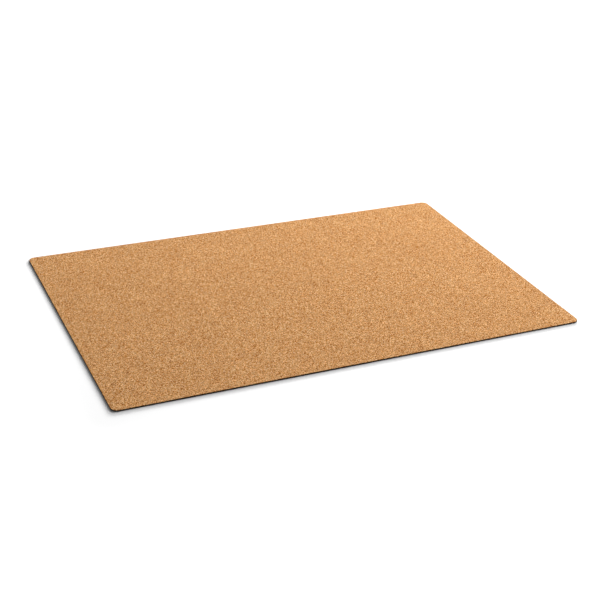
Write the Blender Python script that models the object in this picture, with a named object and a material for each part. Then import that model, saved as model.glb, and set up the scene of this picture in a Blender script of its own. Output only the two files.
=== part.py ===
"""Desk mat: a thin agglomerated cork sheet bonded to a black rubber base.

The mat lies flat. +X runs along its long side, +Y along its short side and +Z up. The origin
is on the surface it lies on, under the middle of the mat. Units are metres.
"""

import math

import bmesh
import bpy

# Plan of the mat. All the layers are die cut together, so they share one outline.
MAT_LENGTH = 0.600
MAT_WIDTH = 0.400
CORNER_RADIUS = 0.008
CORNER_STEPS = 16  # straight stretches in each rounded corner

# The layers, from the desk upwards.
BASE_THICKNESS = 0.0013
FILM_THICKNESS = 0.0001
CORK_THICKNESS = 0.0004
FILM_CLEARANCE = 0.0001  # on each side of the film, so base and cork stay 0.3 mm apart

# The cutting die and handling round off the two outer edges a little.
ARRIS_WIDTH = 0.00015
ARRIS_SEGMENTS = 2

BASE_COLOR = (0.012, 0.011, 0.011, 1.0)
FILM_COLOR = (0.055, 0.035, 0.022, 1.0)
CORK_COLOR = (0.587, 0.308, 0.124, 1.0)


def clear_scene():
    for obj in list(bpy.data.objects):
        bpy.data.objects.remove(obj, do_unlink=True)


def make_material(name, color, roughness):
    material = bpy.data.materials.new(name)
    material.use_nodes = True
    shader = material.node_tree.nodes["Principled BSDF"]
    shader.inputs["Base Color"].default_value = color
    shader.inputs["Roughness"].default_value = roughness
    shader.inputs["Metallic"].default_value = 0.0
    return material


def outline():
    """The die's outline, anticlockwise seen from above, with an arc at each corner."""
    centres = (
        (MAT_LENGTH / 2 - CORNER_RADIUS, MAT_WIDTH / 2 - CORNER_RADIUS),
        (CORNER_RADIUS - MAT_LENGTH / 2, MAT_WIDTH / 2 - CORNER_RADIUS),
        (CORNER_RADIUS - MAT_LENGTH / 2, CORNER_RADIUS - MAT_WIDTH / 2),
        (MAT_LENGTH / 2 - CORNER_RADIUS, CORNER_RADIUS - MAT_WIDTH / 2),
    )
    points = []
    for quarter, (x, y) in enumerate(centres):
        for step in range(CORNER_STEPS + 1):
            angle = math.pi / 2 * (quarter + step / CORNER_STEPS)
            points.append(
                (x + CORNER_RADIUS * math.cos(angle), y + CORNER_RADIUS * math.sin(angle))
            )
    return points


def outer_rim(mesh, height):
    """The edges of the outline at this height."""
    return [
        edge
        for edge in mesh.edges
        if all(abs(vert.co.z - height) < ARRIS_WIDTH / 10 for vert in edge.verts)
    ]


def add_layer(name, thickness, height, material, rounded_at=None):
    """One layer of the laminate, standing on this height, with one rim rounded if asked."""
    shape = bmesh.new()
    floor = shape.faces.new([shape.verts.new((x, y, 0.0)) for x, y in outline()])
    raised = bmesh.ops.extrude_face_region(shape, geom=[floor], use_keep_orig=True)
    top = [item for item in raised["geom"] if isinstance(item, bmesh.types.BMVert)]
    bmesh.ops.translate(shape, verts=top, vec=(0.0, 0.0, thickness))
    if rounded_at is not None:
        bmesh.ops.bevel(
            shape,
            geom=outer_rim(shape, rounded_at),
            offset=ARRIS_WIDTH,
            segments=ARRIS_SEGMENTS,
            profile=0.5,
            affect="EDGES",
        )
    bmesh.ops.recalc_face_normals(shape, faces=shape.faces)
    mesh = bpy.data.meshes.new(name)
    shape.to_mesh(mesh)
    shape.free()
    mesh.materials.append(material)
    mesh.shade_smooth()
    mesh.set_sharp_from_angle(angle=math.radians(30.0))
    layer = bpy.data.objects.new(name, mesh)
    layer.location.z = height
    bpy.context.scene.collection.objects.link(layer)
    return layer


def build():
    clear_scene()
    film_height = BASE_THICKNESS + FILM_CLEARANCE
    cork_height = film_height + FILM_THICKNESS + FILM_CLEARANCE
    add_layer(
        "rubber_base",
        BASE_THICKNESS,
        0.0,
        make_material("black_rubber", BASE_COLOR, 0.85),
        rounded_at=0.0,
    )
    add_layer(
        "bonding_film",
        FILM_THICKNESS,
        film_height,
        make_material("contact_adhesive", FILM_COLOR, 0.45),
    )
    add_layer(
        "cork_face_sheet",
        CORK_THICKNESS,
        cork_height,
        make_material("agglomerated_cork", CORK_COLOR, 0.9),
        rounded_at=CORK_THICKNESS,
    )


build()
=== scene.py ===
"""Looks of the desk mat: a fine-grained cork face bonded to a black rubber base.

Metres, in the CAD's frame: +X along the long side, +Y away from the viewer, +Z up.
"""

import math

import bmesh
import bpy
import numpy as np
from mathutils import Matrix, Vector, noise

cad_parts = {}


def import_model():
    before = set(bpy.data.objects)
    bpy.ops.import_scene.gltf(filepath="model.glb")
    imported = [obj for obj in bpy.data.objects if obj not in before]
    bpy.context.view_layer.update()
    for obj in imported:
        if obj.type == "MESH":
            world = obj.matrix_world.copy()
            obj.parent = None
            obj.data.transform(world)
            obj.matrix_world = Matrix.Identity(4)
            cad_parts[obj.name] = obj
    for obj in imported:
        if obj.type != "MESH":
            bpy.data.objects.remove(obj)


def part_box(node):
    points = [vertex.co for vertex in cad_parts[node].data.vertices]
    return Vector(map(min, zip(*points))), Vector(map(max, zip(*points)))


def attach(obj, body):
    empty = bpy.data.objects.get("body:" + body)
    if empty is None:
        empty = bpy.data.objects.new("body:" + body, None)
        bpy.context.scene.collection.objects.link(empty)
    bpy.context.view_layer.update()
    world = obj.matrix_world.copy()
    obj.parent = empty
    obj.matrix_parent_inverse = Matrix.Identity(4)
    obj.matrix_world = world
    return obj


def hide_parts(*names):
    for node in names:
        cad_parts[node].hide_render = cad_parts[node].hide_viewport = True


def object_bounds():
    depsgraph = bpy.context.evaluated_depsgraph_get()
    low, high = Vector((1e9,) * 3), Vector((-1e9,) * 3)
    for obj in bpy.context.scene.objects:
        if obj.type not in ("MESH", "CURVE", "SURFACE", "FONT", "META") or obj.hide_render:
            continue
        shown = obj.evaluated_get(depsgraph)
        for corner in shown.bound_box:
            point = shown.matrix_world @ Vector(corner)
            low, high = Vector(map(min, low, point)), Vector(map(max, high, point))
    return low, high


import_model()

MM = 0.001
cad_low, cad_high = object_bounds()

# The die-cut outline, shared by every layer.
CORNER_RADIUS = 8.0 * MM
CORNER_STEPS = 14
RIM_PITCH = 1.0 * MM  # spacing of the points along the rim
HALF_LENGTH = cad_high.x
HALF_WIDTH = cad_high.y
FACE_CELL = 2  # the cork face's grid cell, in rim pitches
HIDDEN_CELL = 8  # the same for the flat faces inside the laminate and underneath

# Granules of the cork and dimples of the underside, in the materials' millimetres.
FINE_GRANULES = 2.1  # to the millimetre
COARSE_GRANULES = 1.05
COARSE_SHARE = 0.24  # of the places in the coarse pattern show a coarse granule
BARK_PATCHES = 0.4
BARK_SHARE = 0.05  # of the patches hold a dark speck of bark
WAFFLE_PITCH = 2.4  # between the dimples of the non-slip underside


# ---------------------------------------------------------------- mesh tools


def rim_points(inset):
    """The outline moved inwards: rows of x, y and the outward normal's x, y."""
    radius = CORNER_RADIUS - inset
    length, width = HALF_LENGTH - CORNER_RADIUS, HALF_WIDTH - CORNER_RADIUS
    corners = ((length, width), (-length, width), (-length, -width), (length, -width))
    rows = []
    for quarter, (x, y) in enumerate(corners):
        for step in range(CORNER_STEPS + 1):
            turn = math.pi / 2 * (quarter + step / CORNER_STEPS)
            nx, ny = math.cos(turn), math.sin(turn)
            rows.append((x + radius * nx, y + radius * ny, nx, ny))
        start = rows[-1]
        next_x, next_y = corners[(quarter + 1) % 4]
        steps = side_steps(quarter)
        for step in range(1, steps):
            share = step / steps
            rows.append(
                (start[0] + (next_x - x) * share, start[1] + (next_y - y) * share, nx, ny)
            )
    return np.array(rows)


def side_steps(quarter):
    """Rim pitches along the straight side that follows this corner."""
    half = HALF_WIDTH if quarter % 2 else HALF_LENGTH
    return round(2 * (half - CORNER_RADIUS) / RIM_PITCH)


def field(points, scale, seed, detail=1):
    """Smooth noise from -1 to 1 at points in metres, with features of this size."""
    shift = Vector((seed * 17.3, seed * 5.9, seed * 11.1))
    return np.array(
        [noise.fractal(Vector(p) / scale + shift, 0.9, 2.0, detail) for p in points]
    )


class Layer:
    """A closed sheet lofted through rings round the rim, with a grid on each flat side."""

    def __init__(self):
        self.points = []
        self.faces = []
        self.last = None

    def add(self, rows):
        """Stores these points and gives their numbers."""
        start = sum(len(block) for block in self.points)
        self.points.append(np.asarray(rows, float))
        return start + np.arange(len(rows))

    def ring(self, inset, height, push=None):
        """A ring at this inset and height. push moves its points outwards."""
        rim = rim_points(inset)
        rows = np.column_stack([rim[:, 0], rim[:, 1], np.full(len(rim), height)])
        if push is not None:
            rows[:, :2] += rim[:, 2:] * push(rows)[:, None]
        new = self.add(rows)
        if self.last is not None:
            ahead_new, ahead_last = np.roll(new, -1), np.roll(self.last, -1)
            self.faces += list(zip(self.last, ahead_last, ahead_new, new))
        self.last = new

    def cap(self, height, cell, upward, relief=None):
        """Closes the last ring with a grid whose cells span this many rim pitches."""
        across = side_steps(1) // cell
        along = side_steps(0) // cell
        length, width = HALF_LENGTH - CORNER_RADIUS, HALF_WIDTH - CORNER_RADIUS
        x, y = np.meshgrid(
            np.linspace(-length, length, along + 1), np.linspace(-width, width, across + 1)
        )
        rows = np.column_stack([x.ravel(), y.ravel(), np.full(x.size, height)])
        if relief is not None:
            rows[:, 2] += relief(rows)
        grid = self.add(rows).reshape(across + 1, along + 1)
        faces = list(
            zip(
                grid[:-1, :-1].ravel(),
                grid[:-1, 1:].ravel(),
                grid[1:, 1:].ravel(),
                grid[1:, :-1].ravel(),
            )
        )
        sides = (grid[-1, ::-1], grid[::-1, 0], grid[0, :], grid[:, -1])
        start = 0
        for quarter, side in enumerate(sides):
            for step in range(CORNER_STEPS):
                faces.append((self.last[start + step], self.last[start + step + 1], side[0]))
            start += CORNER_STEPS
            for index in range(len(side) - 1):
                reach = [
                    self.last[(start + index * cell + step) % len(self.last)]
                    for step in range(cell + 1)
                ]
                faces.append((*reach, side[index + 1], side[index]))
            start += side_steps(quarter)
        self.faces += faces if upward else [face[::-1] for face in faces]

    def build(self, name, material, slot, node):
        """Makes the mesh, and lets it stand for this CAD node."""
        points = np.concatenate(self.points)
        mesh = bpy.data.meshes.new(name)
        faces = [[int(index) for index in face] for face in self.faces]
        mesh.from_pydata(points.tolist(), [], faces)
        mesh.validate()
        shape = bmesh.new()
        shape.from_mesh(mesh)
        bmesh.ops.recalc_face_normals(shape, faces=shape.faces)
        shape.to_mesh(mesh)
        shape.free()
        mesh.shade_smooth()
        mesh.set_sharp_from_angle(angle=math.radians(50.0))
        mesh.materials.append(material)
        piece = bpy.data.objects.new(name, mesh)
        bpy.context.scene.collection.objects.link(piece)
        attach(piece, "root")
        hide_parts(node)


# ---------------------------------------------------------------- node tools


class Nodes:
    """Short calls for building one node tree."""

    def __init__(self, tree):
        self.tree = tree
        tree.nodes.clear()

    def add(self, kind, inputs=None, **settings):
        """A node with these settings. Each input is a value or a socket to link from."""
        node = self.tree.nodes.new(kind)
        for name, value in settings.items():
            setattr(node, name, value)
        for name, value in (inputs or {}).items():
            socket = node.inputs[name]
            if isinstance(value, bpy.types.NodeSocket):
                self.tree.links.new(value, socket)
            else:
                socket.default_value = value
        return node

    def math(self, operation, first, second=0.0, third=0.0, clamp=False):
        node = self.add(
            "ShaderNodeMath", {0: first, 1: second, 2: third}, operation=operation, use_clamp=clamp
        )
        return node.outputs[0]

    def vector(self, operation, first, second):
        node = self.add("ShaderNodeVectorMath", {0: first, 1: second}, operation=operation)
        return node.outputs[0]

    def noise(self, vector, scale, detail=2.0, roughness=0.5):
        inputs = {"Vector": vector, "Scale": scale, "Detail": detail, "Roughness": roughness}
        return self.add("ShaderNodeTexNoise", inputs)

    def cells(self, vector, scale, feature="F1"):
        return self.add(
            "ShaderNodeTexVoronoi", {"Vector": vector, "Scale": scale}, feature=feature
        )

    def remap(self, value, low, high, to_low=0.0, to_high=1.0, smooth=False):
        inputs = {
            "Value": value,
            "From Min": low,
            "From Max": high,
            "To Min": to_low,
            "To Max": to_high,
        }
        kind = "SMOOTHSTEP" if smooth else "LINEAR"
        return self.add("ShaderNodeMapRange", inputs, interpolation_type=kind).outputs["Result"]

    def ramp(self, value, stops, mode="LINEAR"):
        node = self.add("ShaderNodeValToRGB", {"Fac": value})
        ramp = node.color_ramp
        ramp.interpolation = mode
        while len(ramp.elements) < len(stops):
            ramp.elements.new(0.5)
        for element, (place, color) in zip(ramp.elements, stops):
            element.position = place
            element.color = (*color, 1.0)
        return node.outputs["Color"]

    def mix(self, share, first, second, blend="MIX"):
        node = self.add("ShaderNodeMix", data_type="RGBA", blend_type=blend)
        for socket, value in ((0, share), (6, first), (7, second)):
            if isinstance(value, bpy.types.NodeSocket):
                self.tree.links.new(value, node.inputs[socket])
            else:
                node.inputs[socket].default_value = value
        return node.outputs[2]

    def choose(self, share, first, second):
        """The first number where share is 0, the second where it is 1."""
        inputs = {0: share, 2: first, 3: second}
        return self.add("ShaderNodeMix", inputs, data_type="FLOAT").outputs[0]

    def channels(self, color):
        return self.add("ShaderNodeSeparateColor", {"Color": color}).outputs

    def object_mm(self):
        """The place on the object, in millimetres."""
        place = self.add("ShaderNodeTexCoord").outputs["Object"]
        scaled = self.add("ShaderNodeMapping", {"Vector": place, "Scale": (1000.0,) * 3})
        return scaled.outputs[0]

    def upward(self):
        """1 where the surface faces up, 0 where it stands upright, -1 where it faces down."""
        normal = self.add("ShaderNodeNewGeometry").outputs["True Normal"]
        return self.add("ShaderNodeSeparateXYZ", {"Vector": normal}).outputs["Z"]

    def surface(self, inputs, bump_height=None, bump_depth=0.0):
        shader = self.add("ShaderNodeBsdfPrincipled", inputs)
        if bump_height is not None:
            bump = self.add(
                "ShaderNodeBump", {"Height": bump_height, "Strength": 1.0, "Distance": bump_depth}
            )
            self.tree.links.new(bump.outputs["Normal"], shader.inputs["Normal"])
        self.add("ShaderNodeOutputMaterial", {"Surface": shader.outputs[0]})


def linear(red, green, blue):
    """Linear colour from sRGB values of 0 to 255."""
    def channel(value):
        value /= 255.0
        return value / 12.92 if value <= 0.04045 else ((value + 0.055) / 1.055) ** 2.4

    return tuple(channel(value) for value in (red, green, blue))


# ---------------------------------------------------------------- materials


def cork_material():
    """Agglomerated cork: pressed granules of mixed size and tone, with dark bark specks."""
    material = bpy.data.materials.new("agglomerated_cork")
    material.use_nodes = True
    nodes = Nodes(material.node_tree)
    place = nodes.object_mm()

    wobble = nodes.noise(place, 1.3, 2.0, 0.6).outputs["Color"]
    wobble = nodes.vector("SUBTRACT", wobble, (0.5, 0.5, 0.5))
    wobble = nodes.vector("MULTIPLY", wobble, (0.9, 0.9, 0.9))
    bent = nodes.vector("ADD", place, wobble)

    fine = nodes.channels(nodes.cells(bent, FINE_GRANULES).outputs["Color"])
    coarse = nodes.channels(nodes.cells(bent, COARSE_GRANULES).outputs["Color"])
    is_coarse = nodes.math("GREATER_THAN", coarse["Green"], 1.0 - COARSE_SHARE)
    tone = nodes.choose(is_coarse, fine["Red"], coarse["Red"])

    granule = nodes.ramp(
        tone,
        [
            (0.00, linear(101, 43, 9)),
            (0.10, linear(122, 62, 21)),
            (0.28, linear(160, 96, 41)),
            (0.50, linear(212, 149, 86)),
            (0.72, linear(247, 194, 130)),
            (1.00, linear(254, 227, 178)),
        ],
    )
    bark = nodes.cells(bent, BARK_PATCHES)
    chosen = nodes.math("GREATER_THAN", nodes.channels(bark.outputs["Color"])["Blue"], 1.0 - BARK_SHARE)
    middle = nodes.math("LESS_THAN", bark.outputs["Distance"], 0.3)
    speck = nodes.math("MULTIPLY", chosen, middle)
    granule = nodes.mix(nodes.math("MULTIPLY", speck, 0.8), granule, (*linear(99, 49, 19), 1.0))
    clumps = nodes.noise(place, 0.16, 2.0, 0.5).outputs["Fac"]
    drift = nodes.noise(place, 0.02, 2.0, 0.5).outputs["Fac"]
    shade = nodes.remap(clumps, 0.25, 0.75, 0.95, 1.05)
    shade = nodes.math("MULTIPLY", shade, nodes.remap(drift, 0.3, 0.7, 0.98, 1.02))
    color = nodes.vector("MULTIPLY", granule, shade)

    grain = nodes.noise(bent, 5.0, 3.0, 0.6).outputs["Fac"]
    color = nodes.mix(
        nodes.remap(grain, 0.35, 0.7, 0.0, 0.4), color, (*linear(165, 104, 52), 1.0), "MULTIPLY"
    )
    edge = nodes.cells(bent, FINE_GRANULES, "DISTANCE_TO_EDGE").outputs["Distance"]
    seam = nodes.remap(edge, 0.0, 0.08, 1.0, 0.0, smooth=True)
    color = nodes.mix(
        nodes.math("MULTIPLY", seam, 0.4), color, (*linear(130, 77, 35), 1.0)
    )
    # Painted shade: the cork's upright cut edge is mixed towards dark brown, standing in for the shade
    # on its side faces.
    cut = nodes.remap(nodes.math("ABSOLUTE", nodes.upward()), 0.3, 0.85, 0.9, 0.0)
    color = nodes.mix(cut, color, (*linear(58, 30, 14), 1.0))

    height = nodes.math("MULTIPLY", tone, 0.35)
    height = nodes.math("MULTIPLY_ADD", seam, -0.5, height)
    height = nodes.math("MULTIPLY_ADD", grain, 0.4, height)
    rough = nodes.remap(grain, 0.3, 0.7, 0.85, 1.0)
    nodes.surface(
        {"Base Color": color, "Roughness": rough, "Specular IOR Level": 0.0},
        height,
        0.04 * MM,
    )
    return material


def rubber_material():
    """Black foam rubber: matt, with a fine closed-cell grain and a dimpled underside."""
    material = bpy.data.materials.new("black_foam_rubber")
    material.use_nodes = True
    nodes = Nodes(material.node_tree)
    place = nodes.object_mm()
    cells = nodes.cells(place, 3.2).outputs["Distance"]
    grain = nodes.noise(place, 1.4, 3.0, 0.6).outputs["Fac"]
    color = nodes.ramp(
        grain, [(0.3, (0.009, 0.008, 0.008)), (0.7, (0.017, 0.015, 0.014))]
    )
    cut = nodes.remap(nodes.math("ABSOLUTE", nodes.upward()), 0.3, 0.8, 1.0, 0.0)
    dust = nodes.noise(place, 0.8, 3.0, 0.6).outputs["Fac"]
    dust = nodes.math("MULTIPLY", cut, nodes.remap(dust, 0.35, 0.65, 0.3, 1.0))
    color = nodes.mix(dust, color, (0.034, 0.016, 0.008, 1.0))
    height = nodes.math("MULTIPLY_ADD", grain, 0.5, cells)

    axes = nodes.add("ShaderNodeSeparateXYZ", {"Vector": place}).outputs
    turn = 2 * math.pi / WAFFLE_PITCH
    across = nodes.math("SINE", nodes.math("MULTIPLY", axes["X"], turn))
    along = nodes.math("SINE", nodes.math("MULTIPLY", axes["Y"], turn))
    below = nodes.remap(nodes.upward(), -0.9, -0.6, 1.0, 0.0)
    waffle = nodes.math("MULTIPLY", nodes.math("SMOOTH_MAX", across, along, 0.4), below)
    height = nodes.math("MULTIPLY_ADD", waffle, 1.5, height)
    nodes.surface(
        {
            "Base Color": color,
            "Roughness": nodes.remap(grain, 0.3, 0.7, 0.8, 0.95),
            "Specular IOR Level": 0.15,
        },
        height,
        0.04 * MM,
    )
    return material


def adhesive_material():
    """Contact adhesive pressed to a dark hair line between the layers."""
    material = bpy.data.materials.new("contact_adhesive")
    material.use_nodes = True
    nodes = Nodes(material.node_tree)
    place = nodes.object_mm()
    beads = nodes.noise(place, 0.7, 3.0, 0.6).outputs["Fac"]
    color = nodes.ramp(
        beads, [(0.3, linear(48, 34, 24)), (0.7, linear(86, 62, 42))]
    )
    nodes.surface(
        {"Base Color": color, "Roughness": nodes.remap(beads, 0.3, 0.7, 0.35, 0.6)},
        beads,
        0.02 * MM,
    )
    return material


# ---------------------------------------------------------------- layers

base_low, base_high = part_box("rubber_base")
film_low, film_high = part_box("bonding_film")
cork_low, cork_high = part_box("cork_face_sheet")

BOND = 0.02 * MM  # what is left between two layers of the laminate
cork_bottom = cork_low.z
film_top = cork_bottom - BOND
film_bottom = film_low.z - BOND
base_top = film_bottom - BOND


def cork_edge(rows):
    """The die tears the rim along the granules, and a few of them are missing."""
    uneven = field(rows, 1.6 * MM, 1, 3)
    gaps = np.clip(field(rows, 2.6 * MM, 2, 2) - 0.35, 0.0, 1.0)
    return -0.05 * MM * (1.0 + uneven) - 0.5 * MM * gaps


def cork_relief(rows):
    """The pressed face is flat to within a few hundredths of a millimetre."""
    return 0.02 * MM * field(rows, 5.0 * MM, 3, 2) - 0.02 * MM


def cork_layer():
    layer = Layer()
    top = cork_high.z
    layer.ring(6.0 * MM, cork_bottom)
    hidden = layer.last
    layer.cap(cork_bottom, HIDDEN_CELL, upward=False)
    layer.last = hidden
    layer.ring(2.0 * MM, cork_bottom)
    layer.ring(0.0, cork_bottom, cork_edge)
    for share in (0.35, 0.7):
        layer.ring(0.0, cork_bottom + (top - cork_bottom) * share, cork_edge)
    layer.ring(0.03 * MM, top - 0.06 * MM, cork_edge)
    layer.ring(0.12 * MM, top - 0.01 * MM, cork_edge)
    for inset in (0.5 * MM, 1.2 * MM, 2.2 * MM, 3.5 * MM, 5.2 * MM):
        layer.ring(inset, top - 0.02 * MM)
    layer.cap(top, FACE_CELL, upward=True, relief=cork_relief)
    return layer


def rubber_side(rows):
    """The side draws in a little between the two faces."""
    share = (rows[:, 2] - base_low.z) / (base_top - base_low.z)
    hollow = 4.0 * share * (1.0 - share)
    return -0.08 * MM * hollow + 0.03 * MM * field(rows, 1.2 * MM, 5, 3) - 0.03 * MM


def rubber_layer():
    layer = Layer()
    layer.ring(6.0 * MM, base_low.z)
    hidden = layer.last
    layer.cap(base_low.z, HIDDEN_CELL, upward=False)
    layer.last = hidden
    layer.ring(2.0 * MM, base_low.z)
    layer.ring(0.2 * MM, base_low.z)
    layer.ring(0.05 * MM, base_low.z + 0.05 * MM, rubber_side)
    for share in (0.12, 0.3, 0.5, 0.7, 0.9, 1.0):
        layer.ring(0.0, base_low.z + (base_top - base_low.z) * share, rubber_side)
    layer.ring(2.0 * MM, base_top)
    layer.ring(6.0 * MM, base_top)
    layer.cap(base_top, HIDDEN_CELL, upward=True)
    return layer


def film_edge(rows):
    """The film ends a little inside the cut."""
    return -0.12 * MM + 0.05 * MM * field(rows, 2.0 * MM, 7, 2)


def film_layer():
    layer = Layer()
    layer.ring(6.0 * MM, film_bottom)
    hidden = layer.last
    layer.cap(film_bottom, HIDDEN_CELL, upward=False)
    layer.last = hidden
    layer.ring(2.0 * MM, film_bottom)
    layer.ring(0.0, film_bottom, film_edge)
    layer.ring(0.0, film_top, film_edge)
    layer.ring(2.0 * MM, film_top)
    layer.ring(6.0 * MM, film_top)
    layer.cap(film_top, HIDDEN_CELL, upward=True)
    return layer


cork_layer().build("cork_face", cork_material(), "cork", "cork_face_sheet")
film_layer().build("adhesive_line", adhesive_material(), "adhesive", "bonding_film")
rubber_layer().build("foam_rubber_base", rubber_material(), "rubber", "rubber_base")


# ---------------------------------------------------------------- stage

FLOOR_SIDE = 40.0
CAMERA_LENS = 74.0  # on a sensor 36 mm wide
CAMERA_PLACE = (-0.5874, -1.2880, 0.7201)
CAMERA_TURN, CAMERA_TILT, CAMERA_ROLL = -24.782, 62.581, 2.422  # degrees


def floor():
    """White paper with a faint glow, which is nothing at the mat's foot and grows away from it."""
    mesh = bpy.data.meshes.new("floor")
    half = FLOOR_SIDE / 2
    corners = [(-half, -half, 0), (half, -half, 0), (half, half, 0), (-half, half, 0)]
    mesh.from_pydata(corners, [], [(0, 1, 2, 3)])
    material = bpy.data.materials.new("white_floor")
    material.use_nodes = True
    nodes = Nodes(material.node_tree)
    place = nodes.add("ShaderNodeTexCoord").outputs["Object"]
    beyond = nodes.vector("SUBTRACT", nodes.vector("ABSOLUTE", place, (0, 0, 0)), tuple(cad_high))
    beyond = nodes.vector("MAXIMUM", beyond, (0.0, 0.0, 0.0))
    away = nodes.add("ShaderNodeVectorMath", {0: beyond}, operation="LENGTH").outputs["Value"]
    # Painted light: the floor glows though it is no lamp, and its glow falls to nothing at the mat's
    # foot, which paints a contact shadow there.
    near = nodes.remap(away, 0.0, 0.002, 0.0, 0.1, smooth=True)
    far = nodes.remap(away, 0.012, 0.15, 0.0, 0.8, smooth=True)
    nodes.surface(
        {
            "Base Color": (0.95, 0.95, 0.95, 1.0),
            "Roughness": 1.0,
            "Specular IOR Level": 0.0,
            "Emission Color": (1.0, 1.0, 1.0, 1.0),
            "Emission Strength": nodes.math("ADD", near, far),
        }
    )
    mesh.materials.append(material)
    obj = bpy.data.objects.new("floor", mesh)
    bpy.context.scene.collection.objects.link(obj)


def softbox(name, azimuth, elevation, distance, width, height, power):
    """A rectangular light turned towards the mat. Azimuth runs from +X towards +Y."""
    data = bpy.data.lights.new(name, "AREA")
    data.shape = "RECTANGLE"
    data.size = width
    data.size_y = height
    data.energy = power
    light = bpy.data.objects.new(name, data)
    turn, rise = math.radians(azimuth), math.radians(elevation)
    light.location = (
        distance * math.cos(rise) * math.cos(turn),
        distance * math.cos(rise) * math.sin(turn),
        distance * math.sin(rise),
    )
    light.rotation_euler = (-light.location).to_track_quat("-Z", "Y").to_euler()
    light.visible_camera = False
    bpy.context.scene.collection.objects.link(light)


def world(strength):
    """An even white sky: plain white to the camera, and of this strength as light."""
    scene_world = bpy.data.worlds.new("studio")
    scene_world.use_nodes = True
    nodes = Nodes(scene_world.node_tree)
    seen = nodes.add("ShaderNodeLightPath").outputs["Is Camera Ray"]
    glow = nodes.remap(seen, 0.0, 1.0, strength, 1.0)
    light = nodes.add("ShaderNodeBackground", {"Color": (1.0, 1.0, 1.0, 1.0), "Strength": glow})
    nodes.add("ShaderNodeOutputWorld", {"Surface": light.outputs[0]})
    bpy.context.scene.world = scene_world


def camera():
    data = bpy.data.cameras.new("camera")
    data.sensor_width = 36.0
    data.lens = CAMERA_LENS
    data.clip_start = 0.05
    data.clip_end = 100.0
    view = bpy.data.objects.new("camera", data)
    turn = Matrix.Rotation(math.radians(CAMERA_TURN), 4, "Z")
    tilt = Matrix.Rotation(math.radians(CAMERA_TILT), 4, "X")
    roll = Matrix.Rotation(math.radians(CAMERA_ROLL), 4, "Z")
    view.matrix_world = Matrix.Translation(CAMERA_PLACE) @ turn @ tilt @ roll
    bpy.context.scene.collection.objects.link(view)
    bpy.context.scene.camera = view


floor()
softbox("key", 17.3, 30.8, 3.0, 5.0, 1.8, 144.0)
softbox("rim", 54.5, 12.5, 3.0, 1.8, 0.53, 209.0)
world(0.126)
camera()
bpy.context.scene.view_settings.view_transform = "Standard"
